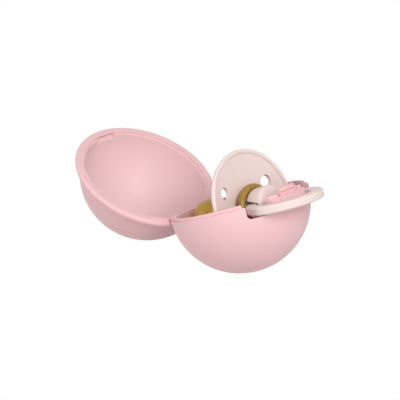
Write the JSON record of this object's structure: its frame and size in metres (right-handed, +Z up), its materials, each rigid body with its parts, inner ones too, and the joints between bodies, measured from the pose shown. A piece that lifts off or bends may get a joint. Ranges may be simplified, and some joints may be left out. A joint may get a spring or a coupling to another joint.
{
  "type": "pacifier case",
  "caption": "Ball-shaped hinged plastic case standing open on its two shells, with a pacifier held in the base by its ring.",
  "frame": {"origin": "on the ground, under the middle of the whole object's bounding box", "axes": "+Z up, +X from the lid to the base and its latch, Y along the hinge pin"},
  "size_m": [0.117, 0.0608, 0.0488],
  "materials": {
    "case_pink": "smooth satin",
    "pin_pink": "smooth satin",
    "pacifier_pale": "smooth satin",
    "teat_amber": "smooth translucent latex"
  },
  "bodies": {
    "base": {"base_shell": "case_pink", "hinge_pin": "pin_pink"},
    "latch": {"latch_tab": "case_pink"},
    "lid": {"lid_shell": "case_pink"},
    "pacifier": {"pacifier_shield": "pacifier_pale", "teat": "teat_amber", "knob_cap": "pacifier_pale", "knob_plug": "pacifier_pale"},
    "ring": {"pacifier_ring": "pacifier_pale"}
  },
  "joints": [
    {"name": "lid_hinge", "type": "hinge", "parent": "base", "child": "lid", "pos_m": [-0.00475, 0, 0.01627], "axis": [0, 1, 0], "range_deg": [0, 131.9]},
    {"name": "latch_flex", "type": "hinge", "parent": "base", "child": "latch", "pos_m": [0.04581, 0, 0.03261], "axis": [0, 1, 0], "range_deg": [-10, 0], "stiffness_Nm_per_rad": 0.2},
    {"name": "pacifier_lift", "type": "slide", "parent": "base", "child": "pacifier", "axis": [-0.3763, 0, 0.9265], "range_m": [0, 0.06]},
    {"name": "ring_swing", "type": "hinge", "parent": "pacifier", "child": "ring", "pos_m": [0.03349, 0, 0.03002], "axis": [0, 1, 0], "range_deg": [0, 20]}
  ],
  "couplings": [
    {"joint": "ring_swing", "follows": "pacifier_lift", "rad_per_m": 5.8}
  ]
}
